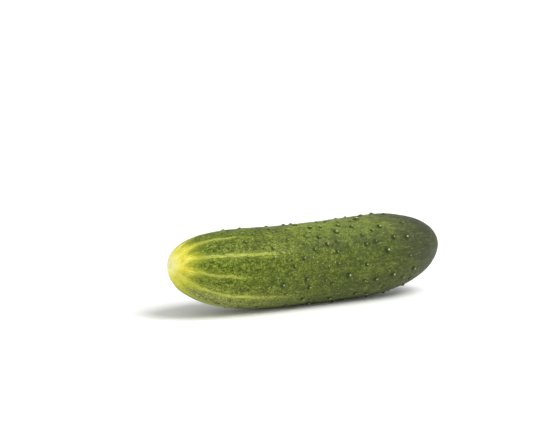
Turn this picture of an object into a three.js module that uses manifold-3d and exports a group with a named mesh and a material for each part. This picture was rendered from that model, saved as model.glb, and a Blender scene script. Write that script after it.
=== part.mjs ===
// A short prickly cucumber lying on its belly, grown as one piece.
// Millimetres, +Z up. +X runs from the blossom end to the stem end, the belly's flat spot lies in
// z = 0, and the origin is under the middle of the length.
import * as THREE from 'three';
import { mergeVertices } from 'three/addons/utils/BufferGeometryUtils.js';
import Module from 'manifold-3d';

// Body
const length = 137; // from the blossom tip to the stem scar
const thickness = 36.5; // across the thickest place
const thickestAt = 0.717; // share of the length, from the blossom end
const blossomFullness = 5.7; // powers of the two end curves: a higher one is blunter
const stemFullness = 2.25;
const waistDepth = 0.3; // slight waist before the middle
const waistAt = 0.43;
const waistSpread = 0.14;

// Bend: both ends rise from the table, and the body sways a little from side to side
const axisHeight = 18.2; // from the table to the axis at mid-length
const blossomRise = 5.6;
const blossomRisePower = 2.5;
const stemRise = 4.3;
const stemRisePower = 2;
const sway = 0.6;
const swayPeak = 1.5 * Math.sqrt(3); // makes w - w^3 reach 1

// Cross-section: three rounded corners, as on the three seed chambers inside, and fine ribs
const cornerShare = 0.018; // height of a corner, as a share of the radius
const cornerAngle = 27;
const ribHeight = 0.2;
const ribWidth = 7; // degrees to either side
const ribTurns = [27, 62, 99, 137, 174, 211, 249, 286, 321, 354]; // degrees round from -Y over the top
const ribStart = 0.03;
const ribFull = 0.09;
const ribEnd = 0.62;

// Scars at the two tips: a raised rim round a shallow dish
const blossomScarRadius = 1.9;
const stemScarRadius = 4;
const rimHeight = 0.28;
const dishDepth = 0.3;
const stubHeight = 0.25; // remains of the stalk, in the middle of the stem scar

// Warts
const wartSeed = 2433;
const wartTries = 520;
const wartStart = 0.09; // shares of the length
const wartFullFrom = 0.42;
const wartEnd = 0.85;
const wartGap = 5.8; // least distance between two big ones
const wartHeight = 0.78;
const wartFoot = 1.5; // radius where it leaves the skin
const wartShoulder = 0.62; // radius near the top
const wartShoulderShare = 0.62; // of the height
const wartRoot = 0.7; // depth of the root in the skin
const wartLeastSize = 0.6;
const wartSides = 5;

// Facets
const stationCount = 38;
const columnsPerRib = 3;
const profileSamples = 1500;

const radius = thickness / 2;
const fullTurn = 360;
const stemCut = (1 - (stemScarRadius / radius) ** 2) ** (1 / stemFullness);

const toRadians = (degrees) => THREE.MathUtils.degToRad(degrees);

// Angle from one direction to another, between -180 and 180 degrees
function turnBetween(from, to) {
  const turn = (to - from) % fullTurn;
  if (turn > fullTurn / 2) return turn - fullTurn;
  if (turn < -fullTurn / 2) return turn + fullTurn;
  return turn;
}

// Radius of the round body at a share of the length
function bodyRadius(share) {
  const blossomSide = share < thickestAt;
  const reach = blossomSide
    ? (thickestAt - share) / thickestAt
    : ((share - thickestAt) / (1 - thickestAt)) * stemCut;
  const power = blossomSide ? blossomFullness : stemFullness;
  const waist = waistDepth * Math.exp(-(((share - waistAt) / waistSpread) ** 2));
  return radius * Math.sqrt(Math.max(0, 1 - reach ** power)) - waist;
}

// Height of the ribs: full near the blossom end, fading out past the middle
function ribLift(share, angle) {
  const rise = THREE.MathUtils.smoothstep(share, ribStart, ribFull);
  const fade = 1 - THREE.MathUtils.smoothstep(share, ribFull, ribEnd);
  let lift = 0;
  for (const ribAngle of ribTurns) {
    lift += Math.exp(-((turnBetween(ribAngle, angle) / ribWidth) ** 2));
  }
  return ribHeight * rise * fade * lift;
}

// Point of the bent axis, and the direction that is up across it
function axisAt(share) {
  const w = 2 * share - 1;
  const rise = w < 0 ? blossomRise : stemRise;
  const power = w < 0 ? blossomRisePower : stemRisePower;
  const height = rise * Math.abs(w) ** power;
  const slope = ((Math.sign(w) * 2) / length) * rise * power * Math.abs(w) ** (power - 1);
  const centre = new THREE.Vector3(
    (share - 0.5) * length,
    sway * swayPeak * (w - w ** 3),
    axisHeight + height,
  );
  const up = new THREE.Vector3(-slope, 0, 1).normalize();
  const along = new THREE.Vector3(1, 0, slope).normalize();
  return { centre, up, along };
}

// Point across the axis at a distance from it; angle 0 faces -Y and 90 faces up
function acrossAxis(share, angle, distance, forward = 0) {
  const { centre, up, along } = axisAt(share);
  return centre
    .addScaledVector(up, distance * Math.sin(toRadians(angle)))
    .addScaledVector(along, forward)
    .add(new THREE.Vector3(0, -distance * Math.cos(toRadians(angle)), 0));
}

function skinPoint(share, angle) {
  const corner = 1 + cornerShare * Math.cos(3 * toRadians(angle - cornerAngle));
  return acrossAxis(share, angle, bodyRadius(share) * corner + ribLift(share, angle));
}

function skinNormal(share, angle) {
  const shareStep = 0.002;
  const angleStep = 1;
  const alongSkin = skinPoint(share + shareStep, angle).sub(skinPoint(share - shareStep, angle));
  const aroundSkin = skinPoint(share, angle + angleStep).sub(skinPoint(share, angle - angleStep));
  return alongSkin.cross(aroundSkin).normalize();
}

// Shares of the length that part the skin into equal steps, from one scar to the other
function skinStations() {
  const firstShare = (thickestAt * (blossomScarRadius / radius) ** 2) / blossomFullness;
  const shares = [];
  const travelled = [0];
  for (let i = 0; i <= profileSamples; i += 1) {
    const eased = (1 - Math.cos((Math.PI * i) / profileSamples)) / 2;
    shares.push(firstShare + (1 - firstShare) * eased);
    if (i > 0) {
      const forward = (shares[i] - shares[i - 1]) * length;
      const outward = bodyRadius(shares[i]) - bodyRadius(shares[i - 1]);
      travelled.push(travelled[i - 1] + Math.hypot(forward, outward));
    }
  }
  const stations = [];
  for (let i = 0; i <= stationCount; i += 1) {
    const goal = (travelled[profileSamples] * i) / stationCount;
    stations.push(shares[travelled.findIndex((distance) => distance >= goal)]);
  }
  return stations;
}

// Directions round the body, with one on each rib
function skinColumns() {
  const columns = [];
  ribTurns.forEach((ribAngle, i) => {
    const next = i + 1 < ribTurns.length ? ribTurns[i + 1] : ribTurns[0] + fullTurn;
    for (let j = 0; j < columnsPerRib; j += 1) {
      columns.push(ribAngle + ((next - ribAngle) * j) / columnsPerRib);
    }
  });
  return columns;
}

// Rings inside a scar, from its edge inwards; forward is outwards from the tip
function scarRings(share, scarRadius, outward, rows, columns) {
  return rows.map(([radiusShare, height]) =>
    columns.map((angle) => acrossAxis(share, angle, scarRadius * radiusShare, outward * height)));
}

function closedGeometry(rings, firstTip, lastTip) {
  const count = rings[0].length;
  const points = [firstTip, ...rings.flat(), lastTip];
  const corner = (ring, column) => 1 + ring * count + (column % count);
  const lastIndex = points.length - 1;
  const index = [];
  for (let column = 0; column < count; column += 1) {
    index.push(0, corner(0, column), corner(0, column + 1));
    index.push(lastIndex, corner(rings.length - 1, column + 1), corner(rings.length - 1, column));
    for (let ring = 0; ring + 1 < rings.length; ring += 1) {
      const [a, b] = [corner(ring, column), corner(ring, column + 1)];
      const [c, d] = [corner(ring + 1, column), corner(ring + 1, column + 1)];
      index.push(a, c, d, a, d, b);
    }
  }
  const geometry = new THREE.BufferGeometry().setFromPoints(points);
  geometry.setIndex(index);
  return geometry;
}

function bodyGeometry() {
  const stations = skinStations();
  const columns = skinColumns();
  const skin = stations.map((share) => columns.map((angle) => skinPoint(share, angle)));
  const [firstShare] = stations;
  const blossomRows = [[0.9, rimHeight], [0.62, -dishDepth * 0.6]];
  const stemRows = [[0.93, rimHeight], [0.72, -dishDepth], [0.36, -dishDepth], [0.28, stubHeight]];
  const blossomScar = scarRings(firstShare, blossomScarRadius, -1, blossomRows, columns).reverse();
  const stemScar = scarRings(1, stemScarRadius, 1, stemRows, columns);
  const blossomTip = acrossAxis(firstShare, 0, 0, dishDepth);
  const stemTip = acrossAxis(1, 0, 0, stubHeight);
  return closedGeometry([...blossomScar, ...skin, ...stemScar], blossomTip, stemTip);
}

// One seeded source of random numbers between 0 and 1
let randomState = wartSeed;
function random() {
  const modulus = 2147483647;
  const multiplier = 48271;
  randomState = (randomState * multiplier) % modulus;
  return randomState / modulus;
}

// Warts land at random and keep their distance. They are few and small towards the blossom end,
// crowd the stem half, and leave the stem end bare.
function wartPlaces() {
  const places = [];
  for (let i = 0; i < wartTries; i += 1) {
    const share = wartStart + (wartEnd - wartStart) * random();
    const angle = fullTurn * random();
    const size = wartLeastSize + (1 - wartLeastSize) * random();
    const chance = random();
    const crowding = Math.min(1, (share - wartStart) / (wartFullFrom - wartStart));
    const gap = wartGap * size;
    const clear = places.every((other) => {
      const forward = (share - other.share) * length;
      const around = (turnBetween(other.angle, angle) / fullTurn) * Math.PI * thickness;
      return forward * forward + around * around > gap * gap;
    });
    if (clear && chance < crowding) {
      places.push({ share, angle, size: size * (wartLeastSize + (1 - wartLeastSize) * crowding) });
    }
  }
  return places;
}

function wartGeometry({ share, angle, size }) {
  const foot = skinPoint(share, angle);
  const normal = skinNormal(share, angle);
  const side = new THREE.Vector3(1, 0, 0).cross(normal).normalize();
  const ahead = side.clone().cross(normal);
  const spin = random() * fullTurn;
  const ring = (ringRadius, height) => Array.from({ length: wartSides }, (_, i) => {
    const turn = toRadians(spin + (fullTurn * i) / wartSides);
    return foot.clone()
      .addScaledVector(normal, height)
      .addScaledVector(side, ringRadius * Math.cos(turn))
      .addScaledVector(ahead, ringRadius * Math.sin(turn));
  });
  const flare = (wartFoot - wartShoulder) / (wartHeight * wartShoulderShare);
  const rings = [
    ring((wartFoot + flare * wartRoot) * size, -wartRoot * size),
    ring(wartShoulder * size, wartHeight * wartShoulderShare * size),
  ];
  const rootTip = foot.clone().addScaledVector(normal, -wartRoot * size);
  const topTip = foot.clone().addScaledVector(normal, wartHeight * size);
  return closedGeometry(rings, rootTip, topTip);
}

const wasm = await Module();
wasm.setup();

function toSolid(geometry) {
  const bare = geometry.clone();
  bare.deleteAttribute('normal');
  bare.deleteAttribute('uv');
  const merged = mergeVertices(bare);
  const vertProperties = new Float32Array(merged.attributes.position.array);
  const triVerts = new Uint32Array(merged.index.array);
  return new wasm.Manifold(new wasm.Mesh({ numProp: 3, vertProperties, triVerts }));
}

function toGeometry(solid) {
  const { vertProperties, triVerts } = solid.getMesh();
  const geometry = new THREE.BufferGeometry();
  geometry.setAttribute('position', new THREE.BufferAttribute(vertProperties, 3));
  geometry.setIndex(new THREE.BufferAttribute(triVerts, 1));
  geometry.computeVertexNormals();
  return geometry;
}

// Everything below the table, which trims the belly to its small flat spot
function tableSolid() {
  const depth = thickness;
  const table = new THREE.BoxGeometry(2 * length, 2 * thickness, depth);
  table.translate(0, 0, -depth / 2);
  return toSolid(table);
}

function cucumberGeometry() {
  let solid = toSolid(bodyGeometry());
  for (const place of wartPlaces()) {
    solid = solid.add(toSolid(wartGeometry(place)));
  }
  return toGeometry(solid.subtract(tableSolid()));
}

const skinMaterial = new THREE.MeshStandardMaterial({
  color: 0x66753a,
  roughness: 0.45,
  metalness: 0,
  flatShading: true,
});

const cucumber = new THREE.Mesh(cucumberGeometry(), skinMaterial);
cucumber.name = 'cucumber';

const part = new THREE.Group();
part.add(cucumber);

export default part;
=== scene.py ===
import math
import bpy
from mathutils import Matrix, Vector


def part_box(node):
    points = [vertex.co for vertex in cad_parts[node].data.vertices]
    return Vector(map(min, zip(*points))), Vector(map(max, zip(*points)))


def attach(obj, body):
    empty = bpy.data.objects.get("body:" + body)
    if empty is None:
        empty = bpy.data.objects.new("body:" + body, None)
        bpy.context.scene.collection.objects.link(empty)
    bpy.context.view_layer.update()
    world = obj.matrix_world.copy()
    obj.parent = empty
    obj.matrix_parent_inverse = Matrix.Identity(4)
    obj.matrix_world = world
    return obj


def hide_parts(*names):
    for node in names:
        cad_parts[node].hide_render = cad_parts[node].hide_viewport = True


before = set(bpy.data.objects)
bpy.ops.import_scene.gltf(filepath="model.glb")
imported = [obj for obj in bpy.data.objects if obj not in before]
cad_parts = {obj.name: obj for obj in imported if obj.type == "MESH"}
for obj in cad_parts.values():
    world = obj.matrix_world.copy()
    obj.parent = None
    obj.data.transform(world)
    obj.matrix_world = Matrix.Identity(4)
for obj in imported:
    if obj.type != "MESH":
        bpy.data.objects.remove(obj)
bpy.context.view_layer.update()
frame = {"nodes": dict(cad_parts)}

from types import SimpleNamespace

import bmesh
import bpy
import numpy as np
from mathutils import Vector, noise

millimetre = 0.001
print("frame loaded:", ", ".join(frame["nodes"]))


# Lengths are in millimetres and angles in degrees, round from -Y over the top.
# Share is the way along from the blossom end (0) to the stem end (1).
cucumber = {
    "form": {
        "length": 137.0,
        "thickness": 36.5,
        "thickestAt": 0.717,
        "blossomFullness": 5.7,
        "stemFullness": 2.25,
        "waistDepth": 0.3,
        "waistAt": 0.43,
        "waistSpread": 0.14,
        "axisHeight": 18.2,
        "blossomRise": 5.6,
        "blossomRisePower": 2.5,
        "stemRise": 4.3,
        "stemRisePower": 2.0,
        "sway": 0.6,
        "cornerShare": 0.018,
        "cornerAngle": 27.0,
    },
    "roughness": {
        "lumpHeight": 0.24,      # slow unevenness of the skin
        "lumpSize": 10.0,
        "dimpleHeight": 0.045,
        "dimpleSize": 3.2,
        "starts": (0.004, 0.05), # shares over which it grows and dies away
        "ends": (0.97, 0.995),
        "steady": (0.01, 0.995), # shares between which the form's normals are steady
    },
    "ribs": {
        "turns": [27, 62, 99, 137, 174, 211, 249, 286, 321, 354],
        "height": 0.2,
        "width": 7.0,
        "start": 0.03,
        "full": 0.09,
        "end": 0.62,
        # the pale stripe on each rib: share where it is gone, strength of its core and its halo
        "stripes": [
            (0.45, 0.88, 0.5), (0.28, 0.65, 0.5), (0.30, 0.7, 0.6), (0.26, 0.6, 0.8),
            (0.36, 0.9, 0.7), (0.24, 0.7, 0.9), (0.31, 0.8, 0.8), (0.33, 0.7, 1.0),
            (0.46, 1.0, 0.72), (0.31, 0.74, 0.5),
        ],
        "stripeFadesFrom": 0.4,  # of the way to where it is gone
    },
    "scars": {
        "blossomRadius": 1.9,
        "stemRadius": 4.0,
        "blossomRim": 0.13,
        "stemRim": 0.26,
        "blossomDish": 0.12,
        "stemDish": 0.3,
        "stubHeight": 0.22,
        "rimAt": 0.9,            # this and the next three in scar radii from the middle
        "rimWidth": 0.1,
        "dishEdge": (0.45, 0.85),
        "stubEdge": (0.2, 0.4),
    },
    "warts": {
        "seed": 2433,
        "tries": 520,
        "start": 0.09,
        "fullFrom": 0.42,
        "end": 0.85,
        "gap": 5.8,
        "leastSize": 0.6,
        "height": 0.82,
        "foot": 1.75,            # radius of the mound
        "widths": (0.8, 1.2),    # the least and most that a mound's foot is scaled by
        "knob": 0.7,             # radius of the tip on it
        "knobShare": 0.2,
        "moatDepth": 0.07,       # shallow ring round the mound
        "moatWidth": 0.45,
        "moatGap": 0.3,
        "paintedShadeShift": 0.5,        # how far the painted shade under it lies towards the blossom end
        # how pale each wart's tip is, its paleness partly a painted glint
        "tipTones": (0.3, 1.1),
        "felt": 3.0,             # wart sizes out to which the skin is moved and coloured
    },
    "mesh": {
        "profileSteps": 3000,
        "rowStep": 0.85,
        "columnsPerRib": 15,
        "blossomScarRows": 9,
        "stemScarRows": 14,
        "wartRings": [2.6, 2.0], # the mesh is halved inside each radius, times the wart's size
        "seamGap": 0.001,
        "bakeMargin": 0.01,
    },
    "colours": {
        "blossomGreen": "6e7e22",
        "youngGreen": "586620",
        "middleGreen": "5a6726",
        "shoulderGreen": "535e2b",
        "stemGreen": "474c38",
        "yellowGreen": "8b9a3e",
        "greyGreen": "5f6c42",
        "darkGreen": "33480a",
        "capYellow": "f0e958",
        "capAmber": "ddd044",
        "capCream": "f9f280",
        "capOlive": "b2b83a",
        "tipCream": "fefaa0",
        "stripeCore": "c3cc5f",
        "stripeHalo": "a0a940",
        "bellyGreen": "9da24e",
        "speck": "b0b878",
        # dark green round each wart, partly painted shade
        "wartRingAndShade": "2c3b12",
        # pale wart tips, partly a pale spine base and partly a painted glint
        "wartTipAndGlint": "dddfbc",
        # near white at the blossom scar: partly its pale colour, partly a painted highlight
        "blossomScarAndHighlight": "fefac0",
        "blossomCoreAndHighlight": "fef8b4",
        "blossomHeartAndHighlight": "fcf1a6",
        "stemScarRim": "7d7f4b",
        "stemScarDish": "5f6036",
        "stemScarFoot": "7c6c42",
        "stemScarCore": "c4ac7c",
    },
    # factors that a noise, from low to high, multiplies a colour by
    "tints": {
        "grain": [(0.33, (0.45, 0.48, 0.34)), (0.5, (1, 1, 1)), (0.67, (1.7, 1.6, 1.85))],
        "comb": [(0.3, (0.8, 0.8, 0.8)), (0.5, (1, 1, 1)), (0.7, (1.2, 1.18, 1.14))],
        "fibres": [(0.34, (0.6, 0.57, 0.5)), (0.5, (1, 1, 1)), (0.66, (1.25, 1.22, 1.18))],
        # painted bounce light from the floor: how much the underside is lightened and blued
        "under": (1.16, 1.12, 1.9),
        "depth": 0.785,          # how light the whole skin is
    },
    # size, detail and roughness of each noise
    "noises": {
        "drift": (13.0, 2.0, 0.5),
        "patches": (6.0, 3.0, 0.6),
        "clumps": (3.4, 2.0, 0.5),
        "mottle": (1.15, 3.0, 0.7),
        "grain": (0.7, 2.0, 0.5),
        "comb": (0.8, 2.0, 0.5),
        "stripeWander": (7.0, 1.0, 0.5),
        "stripeEdge": (1.3, 3.0, 0.65),
        "stripeWear": (0.9, 3.0, 0.6),
        "capSpikes": (2.0, 3.0, 0.6),
        "capTone": (2.4, 3.0, 0.6),
        "wartRingAndShade": (1.4, 1.0, 0.5),
        "wartTipAndGlint": (0.7, 1.0, 0.5),
        "scarEdge": (1.1, 3.0, 0.6),
        "fibres": (0.5, 3.0, 0.7),
    },
    # from a shade's place in the range to its colour
    "ramps": {
        "green": [
            (0.05, "blossomGreen"), (0.28, "youngGreen"), (0.45, "middleGreen"),
            (0.72, "shoulderGreen"), (0.92, "stemGreen"),
        ],
        "cap": [(0.3, "capAmber"), (0.5, "capYellow"), (0.72, "capCream")],
        "blossomScarAndHighlight": [(0.1, "blossomScarAndHighlight"), (0.55, "blossomCoreAndHighlight"), (0.8, "blossomHeartAndHighlight")],
        "stemScar": [
            (0.1, "stemScarRim"), (0.3, "stemScarDish"), (0.52, "stemScarFoot"),
            (0.68, "stemScarCore"),
        ],
    },
    # how far a noise moves the value that it disturbs
    "shifts": {
        "drift": 0.24,
        "clumps": 0.3,
        "stripeWander": 2.2,
        "stripeEdge": 1.7,
        "stripeHalo": 4.5,
        "capSpikes": 0.03,
        "capMottle": 0.075,
        "wartRingAndShade": 1.2,
        "wartTipAndGlint": 0.7,
        "scarEdge": 0.4,
    },
    # the value that each fade starts and ends at, then its result at either, 0 and 1 if left out
    "fades": {
        "quiet": (0.62, 0.9, 1.0, 0.2),          # along: marks are fewer near the stem
        "bellyRound": (0.72, 1.0, 0.0, 0.75),
        "bellyAlong": (0.55, 0.1),
        "pale": (0.4, 0.75, 0.0, 0.4),
        "dull": (0.55, 0.3, 0.0, 0.3),
        "dullAlong": (0.2, 0.5, 0.3, 1.0),
        "paintedTopLight": (0.6, 1.0, 0.84, 1.66),      # round: how much lighter the top is, painted light from above
        "topFrom": (0.33, 0.52),
        "topTo": (0.87, 0.72, 0.15, 1.0),
        "shoulderRound": (0.2, 0.9, 1.06, 0.8),
        "shoulderAlong": (0.76, 0.87),
        # where the painted bounce light underneath falls, round and along
        "paintedBounceRound": (0.55, 1.0),
        "paintedBounceAlong": (0.85, 0.7),
        "markStrength": (0.42, 0.12, 0.45, 0.8),
        "markEnd": (0.95, 0.7, 0.3, 1.0),
        "darkMark": (0.5, 0.36),
        "lightMark": (0.52, 0.66, 0.0, 0.85),
        "grainAlong": (0.25, 0.9, 1.0, 0.3),
        "combAlong": (0.6, 0.9, 0.2, 1.0),
        "speckDot": (0.17, 0.08),
        "speckWhere": (0.46, 0.56),
        "stripeHalo": (1.9, 0.4, 0.0, 0.66),     # millimetres from its middle, as the next three
        "stripeEdge": (0.83, 0.33),
        "strandEdge": (0.4, 0.1),
        "grooveEdge": (0.4, 0.1),
        "strandWhere": (0.85, 0.95, 0.0, 0.7),
        "grooveWhere": (0.4, 0.6, 0.0, 0.6),
        "stripeWear": (0.58, 0.8),
        "stripeEnd": (0.0, 0.2),
        "capUnderneath": (0.5, 1.0, 0.0, 0.004),
        "capOliveRound": (0.3, 0.95, 0.0, 0.45),
        "capOlive": (0.096, 0.046, 0.0, 0.8),
        "cap": (0.061, 0.028),
        "capTip": (0.016, 0.0, 0.0, 0.85),
        "capComb": (0.12, 0.02, 0.0, 0.75),
        "wartToneAlong": (0.15, 0.42, 0.5, 1.0),
        "wartRingAndShade": (2.0, 1.0, 0.0, 0.85),       # in wart sizes, as the next
        "wartRingHole": (0.3, 1.0, 0.3, 1.0),
        "wartRingTone": (0.1, 0.6, 0.35, 1.0),
        "wartTipAndGlint": (0.6, 0.2),
        "scarEdge": (0.03, 0.16),
        "scarOnly": (0.0, 0.06),
        "atStem": (0.4, 0.6),
        # eased off at the tip, leaving painted light there
        "depthSparingLitTip": (0.0, 0.026, 0.5, 1.0),
        "mottleGloss": (0.35, 0.65, 0.58, 0.5),
        "wartGloss": (1.3, 0.7),
    },
    "finish": {
        "paintedTopLightTurn": 85.0,
        "shoulderTurn": 60.0,
        "bellyTurn": -62.0,
        "paintedBounceTurn": -90.0,
        "grainStretch": (1.0, 1.0, 0.6),
        "combStretch": (1.0, 1.0, 0.1),
        "spikeStretch": (0.5, 1.0, 1.0),
        "speckSpacing": 2.6,
        "strandAt": 1.0,         # beside the rib
        "stripeSpared": 0.3,     # how much less a stripe is worn near the blossom end
        "capScallop": 0.008,     # how much shorter the cap is for each millimetre from a rib
        "wartShine": -0.25,      # added to the roughness
        "scarDullness": 0.25,
        "reliefDepth": 0.2,
        "mottleRelief": 0.8,     # shares of that depth
        "grainRelief": 0.4,
        "fibreRelief": 1.2,
        "specular": 0.1,
        "sheen": 0.02,
        "sheenRoughness": 0.35,
    },
}
form, roughness, ribs = cucumber["form"], cucumber["roughness"], cucumber["ribs"]
scars, warts, mesh = cucumber["scars"], cucumber["warts"], cucumber["mesh"]
tints, finish = cucumber["tints"], cucumber["finish"]
radius = form["thickness"] / 2
girthLength = math.pi * form["thickness"]
stemCut = (1 - (scars["stemRadius"] / radius) ** 2) ** (1 / form["stemFullness"])


def smoothstep(x, low, high):
    t = np.clip((x - low) / (high - low), 0, 1)
    return t * t * (3 - 2 * t)


def turnBetween(start, end):
    turn = np.fmod(end - start, 360)
    turn = np.where(turn > 180, turn - 360, turn)
    return np.where(turn < -180, turn + 360, turn)


def bodyRadius(share):
    blossomSide = share < form["thickestAt"]
    reach = np.where(
        blossomSide,
        (form["thickestAt"] - share) / form["thickestAt"],
        (share - form["thickestAt"]) / (1 - form["thickestAt"]) * stemCut,
    )
    power = np.where(blossomSide, form["blossomFullness"], form["stemFullness"])
    waist = form["waistDepth"] * np.exp(-((share - form["waistAt"]) / form["waistSpread"]) ** 2)
    return radius * np.sqrt(np.clip(1 - np.abs(reach) ** power, 0, None)) - waist


def ribLift(share, angle):
    rise = smoothstep(share, ribs["start"], ribs["full"])
    fade = 1 - smoothstep(share, ribs["full"], ribs["end"])
    lift = sum(np.exp(-(turnBetween(turn, angle) / ribs["width"]) ** 2) for turn in ribs["turns"])
    return ribs["height"] * rise * fade * lift


def acrossAxis(share, angle, distance, forward=0.0):
    # a point that far from the bent axis, and that far forward along it
    w = 2 * share - 1
    rise = np.where(w < 0, form["blossomRise"], form["stemRise"])
    power = np.where(w < 0, form["blossomRisePower"], form["stemRisePower"])
    steep = np.abs(w) ** (power - 1)
    slope = np.sign(w) * 2 / form["length"] * rise * power * steep
    lean = 1 / np.sqrt(1 + slope * slope)
    swayPeak = 1.5 * math.sqrt(3)        # brings the curve's own highest value to 1
    up = distance * np.sin(np.radians(angle))
    x = (share - 0.5) * form["length"] + lean * (forward - slope * up)
    y = form["sway"] * swayPeak * (w - w ** 3) - distance * np.cos(np.radians(angle))
    z = form["axisHeight"] + rise * np.abs(w) * steep + lean * (up + slope * forward)
    return np.stack([x, y, z], axis=-1)


def skinPoint(share, angle):
    corner = 1 + form["cornerShare"] * np.cos(np.radians(3 * (angle - form["cornerAngle"])))
    return acrossAxis(share, angle, bodyRadius(share) * corner + ribLift(share, angle))


def skinNormal(share, angle):
    shareStep, angleStep = 0.002, 1
    alongSkin = skinPoint(share + shareStep, angle) - skinPoint(share - shareStep, angle)
    aroundSkin = skinPoint(share, angle + angleStep) - skinPoint(share, angle - angleStep)
    normal = np.cross(alongSkin, aroundSkin)
    return normal / np.linalg.norm(normal, axis=-1, keepdims=True)


def profile():
    # pairs of share and distance travelled over the skin from the blossom scar's edge
    first = form["thickestAt"] * (scars["blossomRadius"] / radius) ** 2 / form["blossomFullness"]
    turns = np.linspace(0, math.pi, mesh["profileSteps"] + 1)
    shares = first + (1 - first) * (1 - np.cos(turns)) / 2
    steps = np.hypot(np.diff(shares) * form["length"], np.diff(bodyRadius(shares)))
    return shares, np.concatenate([[0], np.cumsum(steps)])


def wartPlaces():
    # the same darts as the solid's, so each fine wart stands on a plain one
    multiplier, modulus = 48271, 2147483647
    least = warts["leastSize"]
    state = warts["seed"]

    def draw():
        nonlocal state
        state = state * multiplier % modulus
        return state / modulus

    places = []
    for _ in range(warts["tries"]):
        share = warts["start"] + (warts["end"] - warts["start"]) * draw()
        angle = 360 * draw()
        size = least + (1 - least) * draw()
        chance = draw()
        crowding = min(1, (share - warts["start"]) / (warts["fullFrom"] - warts["start"]))
        gap = warts["gap"] * size
        clear = True
        for otherShare, otherAngle, otherSize in places:
            forward = (share - otherShare) * form["length"]
            around = float(turnBetween(otherAngle, angle)) / 360 * girthLength
            clear = clear and forward * forward + around * around > gap * gap
        if clear and chance < crowding:
            places.append((share, angle, size * (least + (1 - least) * crowding)))
    return np.array(places)


shares, travelled = profile()
skinLength = travelled[-1]
places = wartPlaces()
print("warts:", len(places))


# the skin's mesh is made flat, as travel by angle, and then wrapped on the form
def columnAngles():
    angles = []
    turns = ribs["turns"] + [ribs["turns"][0] + 360]
    for start, end in zip(turns, turns[1:]):
        for step in range(mesh["columnsPerRib"]):
            angles.append(start + (end - start) * step / mesh["columnsPerRib"])
    return np.array(angles + [turns[-1]])


def rowTravels():
    rows = round(skinLength / mesh["rowStep"])
    stemEdge = skinLength + scars["stemRadius"]
    return np.concatenate([
        np.linspace(-scars["blossomRadius"], 0, mesh["blossomScarRows"] + 1)[:-1],
        np.linspace(0, skinLength, rows + 1),
        np.linspace(skinLength, stemEdge, mesh["stemScarRows"] + 1)[1:],
    ])


def flatSheet():
    travels, angles = rowTravels(), columnAngles()
    grid = np.stack(np.meshgrid(travels, angles, indexing="ij"), axis=-1).reshape(-1, 2)
    count = len(angles)
    row, column = np.meshgrid(np.arange(len(travels) - 1), np.arange(count - 1), indexing="ij")
    first = (row * count + column).ravel()
    faces = np.stack([first, first + count, first + count + 1, first + 1], axis=1)
    flat = bpy.data.meshes.new("flatSheet")
    flat.from_pydata(np.column_stack([grid, np.zeros(len(grid))]).tolist(), [], faces.tolist())
    sheet = bmesh.new()
    sheet.from_mesh(flat)
    bpy.data.meshes.remove(flat)
    return sheet


def refineNearWarts(sheet):
    wartTravel = np.interp(places[:, 0], shares, travelled)
    for ringRadius in mesh["wartRings"]:
        edges = list(sheet.edges)
        middles = np.array([(e.verts[0].co + e.verts[1].co)[:2] for e in edges]) / 2
        near = np.zeros(len(edges), bool)
        for travel, (_, angle, size) in zip(wartTravel, places):
            forward = middles[:, 0] - travel
            around = turnBetween(angle, middles[:, 1]) / 360 * girthLength
            near |= forward ** 2 + around ** 2 < (ringRadius * size) ** 2
        chosen = [edge for edge, isNear in zip(edges, near) if isNear]
        bmesh.ops.subdivide_edges(sheet, edges=chosen, cuts=1, use_grid_fill=True)


def unroll(sheet):
    # the flat sheet itself, fitted in the unit square, is the map for baking
    layer = sheet.loops.layers.uv.new("OFBake")
    wholeLength = skinLength + scars["blossomRadius"] + scars["stemRadius"]
    margin = mesh["bakeMargin"]
    spread = 1 - 2 * margin
    for face in sheet.faces:
        for loop in face.loops:
            travel, angle = loop.vert.co.x, loop.vert.co.y
            along = (travel + scars["blossomRadius"]) / wholeLength
            around = (angle - ribs["turns"][0]) / 360 * girthLength / wholeLength
            loop[layer].uv = (margin + spread * along, margin + spread * around)


def scarHeight(reach, isStem):
    # outward height over a scar: a rounded rim, a shallow dish, and at the stem a worn stub
    rimHeight = scars["stemRim"] if isStem else scars["blossomRim"]
    rim = rimHeight * np.exp(-((reach - scars["rimAt"]) / scars["rimWidth"]) ** 2)
    dish = 1 - smoothstep(reach, *scars["dishEdge"])
    if not isStem:
        return rim - scars["blossomDish"] * dish
    stub = (scars["stubHeight"] + scars["stemDish"]) * (1 - smoothstep(reach, *scars["stubEdge"]))
    return rim + (stub - scars["stemDish"] * dish)


def wrapped(travel, angle):
    # bare skin and scars, before warts
    share = np.interp(travel, travelled, shares)
    points = skinPoint(share, angle)
    for edge, outward, scarRadius in (
        (travel < 0, -1, scars["blossomRadius"]),
        (travel > skinLength, 1, scars["stemRadius"]),
    ):
        beyond = np.where(outward < 0, -travel, travel - skinLength)[edge]
        reach = 1 - beyond / scarRadius
        height = outward * scarHeight(reach, outward > 0)
        points[edge] = acrossAxis(share[edge], angle[edge], reach * scarRadius, height)
    return share, points


def roughen(points, share, angle):
    # slow lumps and fine dimples, none at the scars
    away = skinNormal(np.clip(share, *roughness["steady"]), angle)
    calm = smoothstep(share, *roughness["starts"]) * (1 - smoothstep(share, *roughness["ends"]))
    lumps = np.array([noise.noise(Vector(p / roughness["lumpSize"])) for p in points])
    dimples = np.array([noise.noise(Vector(p / roughness["dimpleSize"])) for p in points])
    lift = roughness["lumpHeight"] * lumps + roughness["dimpleHeight"] * dimples
    return points + away * (lift * calm)[:, None]


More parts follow.
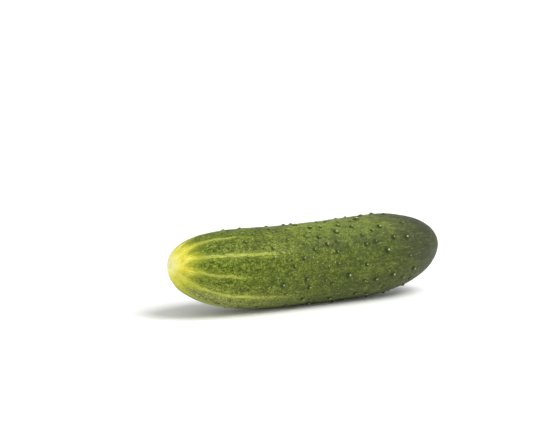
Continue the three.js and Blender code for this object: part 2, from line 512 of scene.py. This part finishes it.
def wartHeight(distance):
    across = np.clip(distance / warts["foot"], 0, 1)
    mound = (1 - warts["knobShare"]) * (0.5 + 0.5 * np.cos(np.pi * across))
    knob = warts["knobShare"] * np.exp(-(distance / warts["knob"]) ** 3)
    moatAt = warts["foot"] + warts["moatGap"]
    moat = np.exp(-((distance - moatAt) / warts["moatWidth"]) ** 2)
    return warts["height"] * (mound + knob) - warts["moatDepth"] * moat


def raiseWarts(points):
    # moves the skin out over each wart, and returns each point's distance from the nearest one and
    # from the painted shade beside it, both in wart sizes, and how pale that wart's tip is, partly a
    # painted glint
    raised = points.copy()
    felt = warts["felt"]
    nearest, paintedShadeSide = np.full(len(points), felt), np.full(len(points), felt)
    pale = np.zeros(len(points))
    random = np.random.default_rng(warts["seed"])
    tipTones = random.uniform(*warts["tipTones"], len(places)) * places[:, 2]
    widths = random.uniform(*warts["widths"], len(places))
    feet = skinPoint(places[:, 0], places[:, 1])
    normals = skinNormal(places[:, 0], places[:, 1])
    order = np.argsort(points[:, 0])
    sortedX = points[order, 0]
    for foot, normal, size, width, tipTone in zip(feet, normals, places[:, 2], widths, tipTones):
        reach = felt * size * width
        low, high = np.searchsorted(sortedX, [foot[0] - reach, foot[0] + reach])
        local = order[low:high]
        away = points[local] - foot
        sunk = away @ normal
        offAxis = np.sqrt(np.clip((away ** 2).sum(axis=1) - sunk ** 2, 0, None))
        distance = offAxis / (size * width)
        close = (distance < felt) & (np.abs(sunk) < reach)
        fromPaintedShade = np.linalg.norm(away + (warts["paintedShadeShift"] * size, 0, 0), axis=1)
        shaded = fromPaintedShade / (size * width)
        local, distance, shaded = local[close], distance[close], shaded[close]
        raised[local] += normal * (size * wartHeight(distance))[:, None]
        nearer = distance < nearest[local]
        nearest[local[nearer]] = distance[nearer]
        pale[local[nearer]] = tipTone
        paintedShadeSide[local] = np.minimum(paintedShadeSide[local], shaded)
    return raised, nearest, paintedShadeSide, pale


def ribPhase(angle):
    # a whole number on each rib
    turns = np.array(ribs["turns"] + [ribs["turns"][0] + 360], float)
    lifted = np.where(angle < turns[0], angle + 360, angle)
    return np.interp(lifted, turns, np.arange(len(turns)))


def writeAttribute(target, name, values):
    isVector = values.ndim == 2
    layer = target.attributes.new(name, "FLOAT_VECTOR" if isVector else "FLOAT", "POINT")
    layer.data.foreach_set("vector" if isVector else "value", values.astype(np.float32).ravel())


def readAttribute(source, name):
    values = np.zeros(len(source.vertices), np.float32)
    source.attributes[name].data.foreach_get("value", values)
    return values


def writeSkinPlaces(skin):
    # what the material reads: where on the fruit each point lies
    travel, angle = readAttribute(skin, "travel"), readAttribute(skin, "angle")
    share = np.interp(travel, travelled, shares)
    phase = ribPhase(angle)
    turn, around = 2 * math.pi * phase, np.radians(angle)
    stripes = np.array(ribs["stripes"])[np.round(phase).astype(int) % len(ribs["turns"])]
    gone = stripes[:, 0]
    left = 1 - smoothstep(share, gone * ribs["stripeFadesFrom"], gone)
    beyondBlossom = -travel / scars["blossomRadius"]
    beyondStem = (travel - skinLength) / scars["stemRadius"]
    girthPlace = [radius * np.cos(around), radius * np.sin(around), travel]
    writeAttribute(skin, "share", share)
    writeAttribute(skin, "girth", np.stack(girthPlace, axis=1))
    writeAttribute(skin, "ribWave", np.stack([np.cos(turn), np.sin(turn), bodyRadius(share)], axis=1))
    writeAttribute(skin, "stripe", np.stack([left, stripes[:, 1], stripes[:, 2]], axis=1))
    writeAttribute(skin, "scar", np.where(travel < 0, beyondBlossom, beyondStem).clip(0, 1))


def buildSkin():
    sheet = flatSheet()
    refineNearWarts(sheet)
    unroll(sheet)
    flat = np.array([vert.co for vert in sheet.verts])
    share, points = wrapped(flat[:, 0], flat[:, 1])
    points = roughen(points, share, flat[:, 1])
    points, nearest, paintedShadeSide, pale = raiseWarts(points)
    points[:, 2] = np.maximum(points[:, 2], 0)
    box = np.array(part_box("cucumber")) / millimetre
    points = np.clip(points, box[0], box[1])
    names = ["travel", "angle", "wartReach", "wartPaintedShade", "wartPaleAndGlint"]
    values = np.column_stack([flat[:, 0], flat[:, 1], nearest, paintedShadeSide, pale])
    layers = [sheet.verts.layers.float.new(name) for name in names]
    for vert, point, row in zip(sheet.verts, points * millimetre, values):
        vert.co = point
        for layer, value in zip(layers, row):
            vert[layer] = value
    bmesh.ops.remove_doubles(sheet, verts=sheet.verts, dist=mesh["seamGap"] * millimetre)
    bmesh.ops.recalc_face_normals(sheet, faces=sheet.faces)
    skin = bpy.data.meshes.new("cucumberSkin")
    sheet.to_mesh(skin)
    sheet.free()
    skin.polygons.foreach_set("use_smooth", [True] * len(skin.polygons))
    writeSkinPlaces(skin)
    return skin


def colour(text):
    # "rrggbb" as a screen shows it, to the linear colour that nodes use
    parts = [int(text[i:i + 2], 16) / 255 for i in (0, 2, 4)]
    linear = [c / 12.92 if c <= 0.04045 else ((c + 0.055) / 1.055) ** 2.4 for c in parts]
    return (*linear, 1.0)


def plug(tree, value, socket):
    if isinstance(value, bpy.types.NodeSocket):
        tree.links.new(value, socket)
    elif value is not None:
        socket.default_value = value


def attribute(tree, name, output="Fac"):
    reader = tree.nodes.new("ShaderNodeAttribute")
    reader.attribute_name = name
    return reader.outputs[output]


def calc(tree, operation, *values, clamp=False):
    made = tree.nodes.new("ShaderNodeMath")
    made.operation, made.use_clamp = operation, clamp
    for value, socket in zip(values, made.inputs):
        plug(tree, value, socket)
    return made.outputs[0]


def product(tree, *values, clamp=False):
    result = values[0]
    for value in values[1:]:
        result = calc(tree, "MULTIPLY", result, value, clamp=clamp)
    return result


def between(tree, value, low, high, resultLow=0.0, resultHigh=1.0):
    made = tree.nodes.new("ShaderNodeMapRange")
    made.interpolation_type = "SMOOTHSTEP"
    for entry, socket in zip((value, low, high, resultLow, resultHigh), made.inputs):
        plug(tree, entry, socket)
    return made.outputs[0]


def mixed(tree, amount, under, over, blend="MIX"):
    made = tree.nodes.new("ShaderNodeMix")
    made.data_type, made.blend_type = "RGBA", blend
    plug(tree, amount, made.inputs[0])
    plug(tree, under, made.inputs[6])
    plug(tree, over, made.inputs[7])
    return made.outputs[2]


def tinted(tree, shade, factor, amount=1.0):
    return mixed(tree, amount, shade, factor, "MULTIPLY")


def rampOf(tree, value, stops):
    made = tree.nodes.new("ShaderNodeValToRGB")
    elements = made.color_ramp.elements
    while len(elements) < len(stops):
        elements.new(0.5)
    for element, (place, shade) in zip(elements, stops):
        element.position, element.color = place, (*shade[:3], 1.0)
    plug(tree, value, made.inputs[0])
    return made.outputs[0]


def noiseAt(tree, vector, name):
    size, detail, rough = cucumber["noises"][name]
    made = tree.nodes.new("ShaderNodeTexNoise")
    plug(tree, vector, made.inputs["Vector"])
    made.inputs["Scale"].default_value = 1 / size
    made.inputs["Detail"].default_value = detail
    made.inputs["Roughness"].default_value = rough
    return made.outputs["Fac"]


def shifted(tree, value, wobble, name):
    # moves a value by a noise that lies about a half
    centred = calc(tree, "SUBTRACT", wobble, 0.5)
    return calc(tree, "MULTIPLY_ADD", centred, cucumber["shifts"][name], value)


def cellsAt(tree, vector, size):
    made = tree.nodes.new("ShaderNodeTexVoronoi")
    plug(tree, vector, made.inputs["Vector"])
    made.inputs["Scale"].default_value = 1 / size
    return made.outputs["Distance"]


def stretched(tree, vector, scale):
    made = tree.nodes.new("ShaderNodeMapping")
    made.inputs["Scale"].default_value = scale
    plug(tree, vector, made.inputs["Vector"])
    return made.outputs["Vector"]


def split(tree, vector):
    made = tree.nodes.new("ShaderNodeSeparateXYZ")
    plug(tree, vector, made.inputs[0])
    return made.outputs


def facing(tree, vector, direction):
    made = tree.nodes.new("ShaderNodeVectorMath")
    made.operation = "DOT_PRODUCT"
    plug(tree, vector, made.inputs[0])
    made.inputs[1].default_value = direction
    return made.outputs["Value"]


def turnedTo(tree, girth, angle):
    # 1 where the skin faces that way round, -1 opposite
    turn = math.radians(angle)
    return facing(tree, girth, (math.cos(turn) / radius, math.sin(turn) / radius, 0))


# the skin's own values, by their names in the dictionary
look = {name: colour(text) for name, text in cucumber["colours"].items()}


def fade(tree, value, name):
    return between(tree, value, *cucumber["fades"][name])


def shadeRamp(tree, value, name):
    return rampOf(tree, value, [(place, look[shade]) for place, shade in cucumber["ramps"][name]])


def ribOffset(tree):
    # millimetres round from the nearest rib
    cosine, sine, girthRadius = split(tree, attribute(tree, "ribWave", "Vector"))
    turn = calc(tree, "ARCTAN2", sine, cosine)
    return product(tree, turn, product(tree, girthRadius, 1 / len(ribs["turns"])))


def skinPlaces(tree):
    # the places, directions and noises that more than one step of the finish reads
    metres = tree.nodes.new("ShaderNodeTexCoord").outputs["Object"]
    place = stretched(tree, metres, [1 / millimetre] * 3)
    girth = attribute(tree, "girth", "Vector")
    share = attribute(tree, "share")
    scar = attribute(tree, "scar")
    grained = stretched(tree, girth, finish["grainStretch"])
    combed = stretched(tree, girth, finish["combStretch"])
    clumps = noiseAt(tree, grained, "clumps")
    torn = shifted(tree, scar, noiseAt(tree, place, "scarEdge"), "scarEdge")
    return SimpleNamespace(
        place=place,
        girth=girth,
        share=share,
        grained=grained,
        clumps=clumps,
        torn=torn,
        drifted=shifted(tree, share, noiseAt(tree, place, "drift"), "drift"),
        mottle=shifted(tree, noiseAt(tree, grained, "mottle"), clumps, "clumps"),
        grain=noiseAt(tree, place, "grain"),
        comb=rampOf(tree, noiseAt(tree, combed, "comb"), tints["comb"]),
        fibres=noiseAt(tree, place, "fibres"),
        quiet=fade(tree, share, "quiet"),
        lean=turnedTo(tree, girth, finish["bellyTurn"]),
        offset=ribOffset(tree),
        wartReach=attribute(tree, "wartReach"),
        dry=product(tree, fade(tree, torn, "scarEdge"), fade(tree, scar, "scarOnly")),
    )


def groundGreen(tree, at):
    # green that deepens and greys from the blossom end to the stem, paler underneath
    green = shadeRamp(tree, at.drifted, "green")
    belly = product(tree, fade(tree, at.lean, "bellyRound"), fade(tree, at.share, "bellyAlong"))
    green = mixed(tree, belly, green, look["bellyGreen"])
    patches = noiseAt(tree, at.place, "patches")
    pale = product(tree, fade(tree, patches, "pale"), at.quiet)
    green = mixed(tree, pale, green, look["yellowGreen"])
    dull = product(tree, fade(tree, patches, "dull"), at.quiet, fade(tree, at.share, "dullAlong"))
    return mixed(tree, dull, green, look["greyGreen"])


def paintedLightAndShoulder(tree, at, green):
    # painted light: lighter on top along the middle, and lighter, bluer underneath as painted bounce;
    # darker on the stem's shoulder
    top = fade(tree, turnedTo(tree, at.girth, finish["paintedTopLightTurn"]), "paintedTopLight")
    middle = product(tree, fade(tree, at.drifted, "topFrom"), fade(tree, at.drifted, "topTo"))
    green = tinted(tree, green, top, middle)
    shoulder = fade(tree, turnedTo(tree, at.girth, finish["shoulderTurn"]), "shoulderRound")
    green = tinted(tree, green, shoulder, fade(tree, at.share, "shoulderAlong"))
    under = fade(tree, turnedTo(tree, at.girth, finish["paintedBounceTurn"]), "paintedBounceRound")
    under = product(tree, under, fade(tree, at.share, "paintedBounceAlong"))
    return tinted(tree, green, (*tints["under"], 1), under)


def marked(tree, at, green):
    # small dark and light marks, strongest near the blossom end, with a fine grain and pale specks
    strength = fade(tree, at.share, "markStrength")
    strength = product(tree, strength, fade(tree, at.share, "markEnd"))
    dark = product(tree, fade(tree, at.mottle, "darkMark"), strength)
    green = mixed(tree, dark, green, look["darkGreen"])
    light = product(tree, fade(tree, at.mottle, "lightMark"), strength)
    green = mixed(tree, light, green, look["yellowGreen"])
    grain = rampOf(tree, at.grain, tints["grain"])
    green = tinted(tree, green, grain, fade(tree, at.share, "grainAlong"))
    green = tinted(tree, green, at.comb, fade(tree, at.share, "combAlong"))
    dot = fade(tree, cellsAt(tree, at.place, finish["speckSpacing"]), "speckDot")
    speck = product(tree, dot, fade(tree, at.mottle, "speckWhere"), at.quiet)
    return mixed(tree, speck, green, look["speck"])


def striped(tree, at, green):
    # pale ragged stripes on the ribs, each with a strand beside it here and there
    left, coreStrength, haloStrength = split(tree, attribute(tree, "stripe", "Vector"))
    wander = shifted(tree, at.offset, noiseAt(tree, at.place, "stripeWander"), "stripeWander")
    wander = shifted(tree, wander, noiseAt(tree, at.place, "stripeEdge"), "stripeEdge")
    away = calc(tree, "ABSOLUTE", wander)
    halo = fade(tree, shifted(tree, away, at.mottle, "stripeHalo"), "stripeHalo")
    halo = product(tree, halo, haloStrength, left, clamp=True)
    wear = noiseAt(tree, at.grained, "stripeWear")
    kept = calc(tree, "MULTIPLY_ADD", left, finish["stripeSpared"], wear)
    strand = calc(tree, "ABSOLUTE", calc(tree, "SUBTRACT", wander, finish["strandAt"]))
    strand = product(tree, fade(tree, strand, "strandEdge"), fade(tree, kept, "strandWhere"))
    groove = product(tree, fade(tree, away, "grooveEdge"), fade(tree, at.clumps, "grooveWhere"))
    band = calc(tree, "SUBTRACT", fade(tree, away, "stripeEdge"), groove)
    core = calc(tree, "MAXIMUM", product(tree, band, fade(tree, kept, "stripeWear")), strand)
    core = product(tree, core, product(tree, coreStrength, fade(tree, left, "stripeEnd")))
    shade = mixed(tree, halo, green, look["stripeHalo"])
    return mixed(tree, core, shade, look["stripeCore"])


def capped(tree, at, shade):
    # yellow cap that runs out along the ribs, further underneath
    spikes = noiseAt(tree, stretched(tree, at.place, finish["spikeStretch"]), "capSpikes")
    fromRib = calc(tree, "ABSOLUTE", at.offset)
    edge = calc(tree, "MULTIPLY_ADD", fromRib, finish["capScallop"], at.share)
    edge = calc(tree, "SUBTRACT", edge, fade(tree, at.lean, "capUnderneath"))
    edge = shifted(tree, shifted(tree, edge, spikes, "capSpikes"), at.mottle, "capMottle")
    tone = shadeRamp(tree, noiseAt(tree, at.place, "capTone"), "cap")
    tone = mixed(tree, fade(tree, at.lean, "capOliveRound"), tone, look["capOlive"])
    shade = mixed(tree, fade(tree, edge, "capOlive"), shade, look["capOlive"])
    shade = mixed(tree, fade(tree, edge, "cap"), shade, tone)
    shade = mixed(tree, fade(tree, at.share, "capTip"), shade, look["tipCream"])
    return tinted(tree, shade, at.comb, fade(tree, at.share, "capComb"))


def warted(tree, at, shade):
    # each wart has a ring, partly darker green skin and partly painted shade shifted towards the
    # blossom end, and a pale tip that is partly a painted glint
    tone = product(tree, attribute(tree, "wartPaleAndGlint"), fade(tree, at.share, "wartToneAlong"))
    uneven = noiseAt(tree, at.place, "wartRingAndShade")
    uneven = shifted(tree, attribute(tree, "wartPaintedShade"), uneven, "wartRingAndShade")
    ring = product(tree, fade(tree, uneven, "wartRingAndShade"), fade(tree, at.wartReach, "wartRingHole"))
    ring = product(tree, ring, fade(tree, tone, "wartRingTone"))
    shade = mixed(tree, ring, shade, look["wartRingAndShade"])
    # the pale tip, partly a painted glint
    tipReach = shifted(tree, at.wartReach, noiseAt(tree, at.place, "wartTipAndGlint"), "wartTipAndGlint")
    tip = product(tree, fade(tree, tipReach, "wartTipAndGlint"), tone, clamp=True)
    return mixed(tree, tip, shade, look["wartTipAndGlint"])


def scarred(tree, at, shade):
    # dry scars at both ends, corky at the stem; the blossom scar is near white, partly its pale
    # colour and partly a painted highlight
    blossomScarAndHighlight = shadeRamp(tree, at.torn, "blossomScarAndHighlight")
    stemScar = shadeRamp(tree, at.torn, "stemScar")
    stemScar = tinted(tree, stemScar, rampOf(tree, at.fibres, tints["fibres"]))
    scar = mixed(tree, fade(tree, at.share, "atStem"), blossomScarAndHighlight, stemScar)
    return mixed(tree, at.dry, shade, scar)


def deepened(tree, at, shade):
    # the whole skin, less so at the blossom end's tip, which is left lighter as painted light
    return tinted(tree, shade, (*[tints["depth"]] * 3, 1), fade(tree, at.share, "depthSparingLitTip"))


def skinGloss(tree, at):
    gloss = fade(tree, at.mottle, "mottleGloss")
    onWart = fade(tree, at.wartReach, "wartGloss")
    gloss = calc(tree, "MULTIPLY_ADD", onWart, finish["wartShine"], gloss)
    return calc(tree, "MULTIPLY_ADD", at.dry, finish["scarDullness"], gloss)


def skinRelief(tree, at):
    grain = calc(tree, "MULTIPLY", at.grain, finish["grainRelief"])
    relief = calc(tree, "MULTIPLY_ADD", at.mottle, finish["mottleRelief"], grain)
    dryFibres = product(tree, at.dry, at.fibres)
    relief = calc(tree, "MULTIPLY_ADD", dryFibres, finish["fibreRelief"], relief)
    bump = tree.nodes.new("ShaderNodeBump")
    bump.inputs["Strength"].default_value = 1.0
    bump.inputs["Distance"].default_value = finish["reliefDepth"] * millimetre
    tree.links.new(relief, bump.inputs["Height"])
    return bump.outputs["Normal"]


def buildSkinMaterial():
    material = bpy.data.materials.new("cucumberSkin")
    material.use_nodes = True
    tree = material.node_tree
    shader = tree.nodes["Principled BSDF"]
    at = skinPlaces(tree)
    shade = groundGreen(tree, at)
    for step in (paintedLightAndShoulder, marked, striped, capped, warted, scarred, deepened):
        shade = step(tree, at, shade)
    tree.links.new(shade, shader.inputs["Base Color"])
    tree.links.new(skinGloss(tree, at), shader.inputs["Roughness"])
    tree.links.new(skinRelief(tree, at), shader.inputs["Normal"])
    shader.inputs["Specular IOR Level"].default_value = finish["specular"]
    shader.inputs["Sheen Weight"].default_value = finish["sheen"]
    shader.inputs["Sheen Roughness"].default_value = finish["sheenRoughness"]
    return material


cucumberSkin = bpy.data.objects.new("cucumberSkin", buildSkin())
bpy.context.scene.collection.objects.link(cucumberSkin)
cucumberSkin.data.materials.append(buildSkinMaterial())
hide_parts("cucumber")
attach(cucumberSkin, "root")
triangles = sum(len(p.vertices) - 2 for p in cucumberSkin.data.polygons)
print("skin:", len(cucumberSkin.data.vertices), "points,", triangles, "triangles")


# Metres from here on, apart from the camera's pixels.
studio = {
    "floorSize": 14.0,
    "floorDrop": 0.00002,        # below the fruit, so that they don't share a plane
    "floorColour": "f9f9f8",
    "floorRoughness": 0.9,
    "skyStrength": 0.552,
    "horizonStrength": 1.188,
    "horizonBand": (0.12, 0.4),  # heights between which the horizon passes into the sky
    "fillStrength": 0.34,        # added round the fill's direction
    "fillFrom": (-0.88, -0.38, 0.28),
    "fillSpread": (0.5, 1.0),
    "keyStrength": 2.6,
    "keySoftness": 40.0,         # degrees the light spreads over
    "keyFrom": (0.33, -0.45, 0.85),
}


def buildFloor():
    half = studio["floorSize"] / 2
    ground = bpy.data.meshes.new("floor")
    corners = [(-half, -half), (half, -half), (half, half), (-half, half)]
    ground.from_pydata([(x, y, -studio["floorDrop"]) for x, y in corners], [], [(0, 1, 2, 3)])
    floor = bpy.data.objects.new("floor", ground)
    bpy.context.scene.collection.objects.link(floor)
    paper = bpy.data.materials.new("floorPaper")
    paper.use_nodes = True
    shader = paper.node_tree.nodes["Principled BSDF"]
    shader.inputs["Base Color"].default_value = colour(studio["floorColour"])
    shader.inputs["Roughness"].default_value = studio["floorRoughness"]
    ground.materials.append(paper)


def buildSky():
    # a bright room, brightest at the horizon and round the fill's direction
    sky = bpy.data.worlds.new("studioSky")
    sky.use_nodes = True
    tree = sky.node_tree
    background = tree.nodes["Background"]
    direction = tree.nodes.new("ShaderNodeTexCoord").outputs["Generated"]
    height = split(tree, direction)[2]
    strengths = studio["horizonStrength"], studio["skyStrength"]
    glow = between(tree, height, *studio["horizonBand"], *strengths)
    toFill = facing(tree, direction, studio["fillFrom"])
    fill = between(tree, toFill, *studio["fillSpread"], 0.0, studio["fillStrength"])
    background.inputs["Color"].default_value = (1, 1, 1, 1)
    tree.links.new(calc(tree, "ADD", glow, fill), background.inputs["Strength"])
    bpy.context.scene.world = sky


def buildKeyLight():
    key = bpy.data.lights.new("keyLight", "SUN")
    key.energy, key.angle = studio["keyStrength"], math.radians(studio["keySoftness"])
    lamp = bpy.data.objects.new("keyLight", key)
    bpy.context.scene.collection.objects.link(lamp)
    lamp.location = studio["keyFrom"]
    lamp.rotation_euler = Vector(studio["keyFrom"]).to_track_quat("Z", "Y").to_euler()


buildFloor()
buildSky()
buildKeyLight()
print("studio ready")


camera = {
    "azimuth": -32.0,
    "elevation": 10.0,
    "distance": 0.87,
    "focalPixels": 1958.4,
    "frame": (550, 440),
    "fruitAt": (306.5, 262.8),   # pixel of the axis at mid-length
    "sensorWidth": 36.0,
    "seesFrom": 0.05,
    "seesTo": 50.0,
}


def buildCamera():
    azimuth, elevation = math.radians(camera["azimuth"]), math.radians(camera["elevation"])
    level = Vector((math.sin(azimuth), -math.cos(azimuth), 0))
    back = level * math.cos(elevation) + Vector((0, 0, math.sin(elevation)))
    right = Vector((math.cos(azimuth), math.sin(azimuth), 0))
    up = back.cross(right)
    middle = Vector((0, 0, form["axisHeight"] * millimetre))
    width, height = camera["frame"]
    perPixel = camera["distance"] / camera["focalPixels"]
    aim = middle - right * (camera["fruitAt"][0] - width / 2) * perPixel
    aim += up * (camera["fruitAt"][1] - height / 2) * perPixel
    place = middle + back * camera["distance"]
    lens = bpy.data.cameras.new("camera")
    lens.sensor_width = camera["sensorWidth"]
    lens.lens = camera["focalPixels"] * camera["sensorWidth"] / width
    lens.clip_start, lens.clip_end = camera["seesFrom"], camera["seesTo"]
    eye = bpy.data.objects.new("camera", lens)
    bpy.context.scene.collection.objects.link(eye)
    eye.location = place
    eye.rotation_euler = (place - aim).to_track_quat("Z", "Y").to_euler()
    bpy.context.scene.camera = eye


buildCamera()
bpy.context.scene.view_settings.view_transform = "Standard"
print("camera ready")
